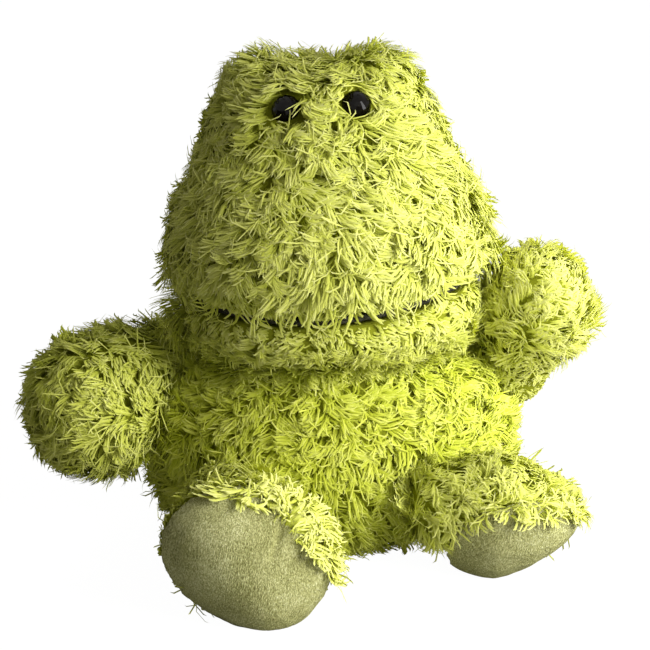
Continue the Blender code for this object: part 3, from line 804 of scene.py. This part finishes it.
def on_sole(side, points):
    """How far points are across, up and in front of the middle of a sole, in millimetres."""
    middle, facing, _ = SOLES[side]
    across = Vector((0, 0, 1)).cross(facing).normalized()
    up = facing.cross(across).normalized()
    away = (np.asarray(points) - np.array(middle)) / MM
    return away @ np.array(across), away @ np.array(up), away @ np.array(facing)


def above_edge(side, points):
    """How far points are above the velour's edge, in millimetres."""
    across, up, _ = on_sole(side, points)
    edge = np.array(SOLES[side][2], float)
    return up - np.interp(across, edge[:, 0], edge[:, 1])


def bulge(across, up, middle, radius):
    """1 in the middle, less further out, and 0 from the radius on."""
    away = ((across - middle[0]) ** 2 + (up - middle[1]) ** 2) / radius**2
    return np.clip(1 - away, 0, 1) ** 2


def turn_away(side, points):
    """Rounds the low outer corner of the right foot, where the stuffing sags away."""
    if side != "right":
        return points
    across, up, front = on_sole(side, points)
    past = SAG_LINE[2] - across * SAG_LINE[0] - up * SAG_LINE[1]
    corner = np.clip(past / SAG_RUN, 0, SAG_MOST) ** 2
    fade = np.clip(1 + front / SAG_REACH, 0, 1)
    back = SAG * MM * corner * fade * (up < SAG_TOP)
    return points - np.array(SOLES[side][1]) * back[:, None]


def pucker(across, up, start, end, width):
    """1 on a line from start to end, less towards its end, and 0 away from it."""
    start, end = np.array(start, float), np.array(end, float)
    length = np.linalg.norm(end - start)
    along = (end - start) / length
    run = (across - start[0]) * along[0] + (up - start[1]) * along[1]
    beside = (across - start[0]) * along[1] - (up - start[1]) * along[0]
    past = np.clip(run - length * PUCKER_FADES_FROM, 0, None)
    fade = np.clip(1 - past / (length * (1 - PUCKER_FADES_FROM)), 0, 1)
    fade *= np.clip(1 + run / PUCKER_START, 0, 1)
    return np.exp(-((beside / width) ** 2)) * fade


# The soles' relief in millimetres: a height, and the bulge or pucker that it shapes
SOLE_RELIEF = {
    "right": (
        (3.0, bulge, (-5, 0), 34),
        (1.5, bulge, (25, -12), 17),
        (-2.8, pucker, (13, 17), (5.5, 0), 1.5),
        (-1.2, pucker, (-8, 28), (-8, 22), 2.4),
        (-1.0, pucker, (8, 23), (-6, 24.5), 1.2),
        (5.0, bulge, (8, -28), 27),
    ),
    "left": ((2.2, bulge, (0, 0), 28),),
}
SOLE_SHIFTS_UP = {"right": (), "left": ((-6.5, (-26, -14), 24), (6.5, (22, -15), 26))}


def sew_sole(side):
    """One sole's velour, shaped by its relief and kept above the floor."""
    name, node = f"sole_{side}_velour", f"sole_{side}"
    sole = stuffed_form(name, [node], voxel=FINE_VOXEL, inset=0.0, rounds=4)
    points, normals = vertex_arrays(sole)
    across, up, _ = on_sole(side, points)
    facing = np.clip(normals @ np.array(SOLES[side][1]), 0, 1)
    rise = sum(height * shape(across, up, *place) for height, shape, *place in SOLE_RELIEF[side])
    points = points + normals * (rise * facing * MM)[:, None]
    for height, middle, radius in SOLE_SHIFTS_UP[side]:
        points[:, 2] += height * MM * bulge(across, up, middle, radius)
    points = turn_away(side, points)
    points[:, 2] = np.maximum(points[:, 2], 0)
    move_vertices(sole, points)
    return dress(sole, f"leg_{side}", finishes["velour"], [node])


soles = {side: sew_sole(side) for side in SOLES}
points, _ = vertex_arrays(forms["leg_right"])
move_vertices(forms["leg_right"], turn_away("right", points))

lining = stuffed_form("mouth_felt", ["mouth_lining"], voxel=FINE_VOXEL, inset=0.0, rounds=1)
dress(lining, "head", finishes["felt"], ["mouth_lining"])

# Strands keep this far from a point under each eye's pole
EYE_RISE = 5.2 * MM
EYE_ROOM = {"right": 7.7 * MM, "left": 6.6 * MM}
eyes = []
for side in ("right", "left"):
    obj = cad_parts[f"eye_{side}"]
    for slot in obj.material_slots:
        slot.material = finishes["eye"]
    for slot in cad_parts[f"eye_washer_{side}"].material_slots:
        slot.material = finishes["washer"]
    points, _ = vertex_arrays(obj)
    low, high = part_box(f"eye_washer_{side}")
    washer = (np.array(low) + np.array(high)) / 2
    outward = unit(points.mean(axis=0) - washer)
    pole = washer + outward * ((points - washer) @ outward).max()
    eyes.append((pole - outward * EYE_RISE, EYE_ROOM[side]))

trees = {name: tree_of(form) for name, form in forms.items()}
trees["sole_right"] = tree_of(soles["right"])
trees["sole_left"] = tree_of(soles["left"])
felt_tree = tree_of(lining)


def near_felt(places, reach):
    """How far each root is from the mouth's felt, up to a reach."""
    found = (felt_tree.find_nearest(Vector(place), reach)[3] for place in places)
    return np.array([reach if distance is None else distance for distance in found])


HEAD_PILE = Pile(
    length=14.0 * MM, lift=RAD(42), droop=RAD(0), curl=RAD(70), wander=RAD(20),
    gather=0.30, lock_strands=15, strays=0.09, shade=0.34,
)
JAW_PILE = Pile(
    length=12.0 * MM, lift=RAD(42), droop=RAD(0), curl=RAD(70), wander=RAD(20),
    gather=0.30, lock_strands=14, strays=0.09, shade=0.32,
)
BODY_PILE = Pile(
    length=10.5 * MM, lift=RAD(42), droop=RAD(4), curl=RAD(80), wander=RAD(34),
    gather=0.30, lock_strands=12, strays=0.10, shade=0.26, long=False,
)
LIMB_PILE = Pile(
    length=10.5 * MM, lift=RAD(44), droop=RAD(4), curl=RAD(80), wander=RAD(30),
    gather=0.30, lock_strands=12, strays=0.12, shade=0.34, long=False,
)
# Painted shade: this arm's pile is set much deeper than the other limbs', for the head's shadow
# that falls on it
RIGHT_ARM_PAINTED_SHADE_PILE = Pile(
    length=12.0 * MM, lift=RAD(44), droop=RAD(2), curl=RAD(76), wander=RAD(28),
    gather=0.30, lock_strands=13, strays=0.10, shade=0.08, long=False,
)
# Painted light: this arm's pile is set much paler than the other limbs', for the lamp's light
# falling on it
LEFT_ARM_PAINTED_LIGHT_PILE = Pile(
    length=10.5 * MM, lift=RAD(46), droop=RAD(4), curl=RAD(85), wander=RAD(32),
    gather=0.30, lock_strands=12, strays=0.14, shade=0.84, long=False,
)
TUFT_PILE = Pile(
    length=9.5 * MM, lift=RAD(56), droop=RAD(6), curl=RAD(110), wander=RAD(50),
    gather=0.34, lock_strands=10, strays=0.30, shade=0.70,
)

# Each pile: the point its strands are combed away from, how it grows, its finish, its strands per
# square millimetre and its seed
PILES = {
    "head": ((-0.004, 0.010, 0.236), HEAD_PILE, "pile", 0.76, 11),
    "jaw": ((0.0, 0.0, 0.135), JAW_PILE, "pile", 0.76, 23),
    "body": ((-0.015, -0.050, 0.100), BODY_PILE, "belly", 0.74, 37),
    "arm_right": ((-0.080, 0.010, 0.100), RIGHT_ARM_PAINTED_SHADE_PILE, "pile", 0.76, 41),
    "arm_left": ((0.082, 0.008, 0.075), LEFT_ARM_PAINTED_LIGHT_PILE, "pile", 0.78, 53),
    "leg_right": ((-0.050, -0.040, 0.040), LIMB_PILE, "pile", 0.70, 67),
    "leg_left": ((0.040, -0.040, 0.045), LIMB_PILE, "pile", 0.70, 79),
}

# Where pile is longer or shorter than elsewhere: the middle of the place, its radius, the share
GROWTH = {
    "head": (
        ((0.045, 0.010, 0.200), 0.038, 0.60),
        ((0.072, -0.005, 0.158), 0.025, 1.35),
        ((-0.058, 0.0, 0.195), 0.034, 0.60),
    ),
    "jaw": (((-0.0747, -0.010, 0.109), 0.026, 1.65),),
    "body": (((-0.084, -0.005, 0.024), 0.040, 1.70),),
    "arm_left": (
        ((0.094, 0.0, 0.064), 0.028, 0.20),
        ((0.117, -0.030, 0.136), 0.030, 0.40),
        ((0.122, -0.030, 0.112), 0.024, 0.60),
        ((0.114, -0.020, 0.094), 0.024, 1.60),
    ),
    "leg_left": (((0.103, -0.070, 0.048), 0.034, 0.60),),
}
GROWTH_EDGE = 1.4
GROWTH_POWER = 1.5

# Roots: the back is thinner, and none grow under another form or near the floor or the felt
PER_METRE_SQUARED = 1e6
BACK_THINNING = 0.35
BACK_RUN = 0.04
ROOT_ROOM = 3.0 * MM
LOWEST_ROOT = 2.5 * MM
FELT_ROOM = {"head": 3.0 * MM, "jaw": 1.6 * MM}
UNCAPPED = 1.0

# Pile at the mouth's edge is short, so that the felt shows, apart from some that hangs over it
FELT_REACH = 20 * MM
MOUTH_REACH = 19 * MM
MOUTH_HALF_WIDTH = 0.066
MOUTH_PILE = 2.4 * MM
MOUTH_PILE_SHARE = 0.52
HANGING = {"head": 0.13, "jaw": 0.0}

# Pile under the velour's edge, in millimetres, and the share of it that stays long
BELOW_SOLE = 4.0
EDGE_MARGIN = 1.0
WISPS = 0.05

# Pile on the soles' rims
RIM_DENSITY = 0.8
RIM_BACK = -11.0
RIM_SEEDS = {"right": 97, "left": 89}
TUFT_SEED = 5
TUFT_SOURCE_UP = np.array((0, 0, 0.060))
TUFT_SOURCE_BACK = 0.030


def growth_at(name, places):
    """How long strands are at each root, as a share of the usual length."""
    share = np.ones(len(places))
    for middle, radius, factor in GROWTH.get(name, ()):
        away = np.linalg.norm(places - np.array(middle), axis=1) / radius
        share += (factor - 1) * np.clip(GROWTH_EDGE - away, 0, 1) ** GROWTH_POWER
    return share


def sectors(places, centre):
    """Which side of its form each root is on: front, back, right or left."""
    away = places - centre
    names = np.full(len(places), "front", dtype="<U5")
    wide = np.abs(away[:, 0]) > np.abs(away[:, 1])
    names[~wide & (away[:, 1] > 0)] = "back"
    names[wide & (away[:, 0] < 0)] = "right"
    names[wide & (away[:, 0] > 0)] = "left"
    return names


def clear_of_eyes(curve):
    """Which strands stay off the eyes' fronts."""
    between = (curve[:, 1:] + curve[:, :-1]) / 2
    points = np.concatenate([curve, between], axis=1)
    clear = np.ones(len(curve), bool)
    for place, room in eyes:
        clear &= np.linalg.norm(points - place, axis=2).min(axis=1) > room
    return clear


def lay_pile(name, body, slot, finish, source, pile, seed, places, facing, longest, growth):
    """Makes a region's pile, in pieces of a size that the export keeps whole."""
    values = strand_curves(places, facing, source, pile, seed, longest, growth)
    curve, facing, width, shade = values
    curve[:, :, 2] = np.maximum(curve[:, :, 2], LOWEST_POINT)
    clear = clear_of_eyes(curve)
    curve, facing, width, shade, places = (
        values[clear] for values in (curve, facing, width, shade, places)
    )
    faces, _ = strand_faces(len(pile.steps) - 1)
    most = MOST_TRIANGLES // len(faces)
    sector = sectors(places, places.mean(axis=0))
    for word in ("front", "right", "back", "left"):
        here = np.flatnonzero(sector == word)
        for part, start in enumerate(range(0, len(here), most)):
            chosen = here[start : start + most]
            suffix = f"_{part + 1}" if part else ""
            values = (curve[chosen], facing[chosen], width[chosen], shade[chosen])
            obj = strand_mesh(f"{name}_pile_{word}{suffix}", pile, *values)
            dress(obj, body, finishes[finish])


for name, (source, pile, finish, density, seed) in PILES.items():
    body, slot, _ = FORMS[name]
    rng = np.random.default_rng(seed)

    def thinned(centres):
        behind = np.clip(centres[:, 1] / BACK_RUN, 0, 1)
        return density * PER_METRE_SQUARED * (1 - BACK_THINNING * behind)

    places, facing = rooted(forms[name], thinned, rng)
    others = [tree for other, tree in trees.items() if other != name]
    free = free_roots(places, facing, others, ROOT_ROOM)
    free &= places[:, 2] > LOWEST_ROOT
    longest = np.full(len(places), UNCAPPED)
    if name in FELT_ROOM:
        room = near_felt(places, FELT_REACH)
        free &= room > FELT_ROOM[name]
        hanging = rng.random(len(places)) < HANGING[name]
        capped = (room < MOUTH_REACH) & ~hanging & (np.abs(places[:, 0]) < MOUTH_HALF_WIDTH)
        longest = np.where(capped, MOUTH_PILE + MOUTH_PILE_SHARE * room, longest)
    if name.startswith("leg_"):
        below = above_edge(name.removeprefix("leg_"), places) < EDGE_MARGIN
        wisps = rng.random(len(places)) < WISPS
        longest = np.where(below & ~wisps, BELOW_SOLE * MM, longest)
    places, facing, longest = places[free], facing[free], longest[free]
    growth = growth_at(name, places)
    lay_pile(name, body, slot, finish, source, pile, seed, places, facing, longest, growth)

for side, sole in soles.items():
    rng = np.random.default_rng(RIM_SEEDS[side])

    def over_rim(centres):
        height = above_edge(side, centres)
        _, _, front = on_sole(side, centres)
        return RIM_DENSITY * PER_METRE_SQUARED * ((height > 0) & (front > RIM_BACK))

    places, facing = rooted(sole, over_rim, rng)
    middle, outward, _ = SOLES[side]
    source = np.array(middle) + TUFT_SOURCE_UP - np.array(outward) * TUFT_SOURCE_BACK
    longest = np.full(len(places), UNCAPPED)
    growth = np.ones(len(places))
    name, body = f"sole_{side}_rim", f"leg_{side}"
    values = (source, TUFT_PILE, TUFT_SEED, places, facing, longest, growth)
    lay_pile(name, body, "pile", "pile", *values)
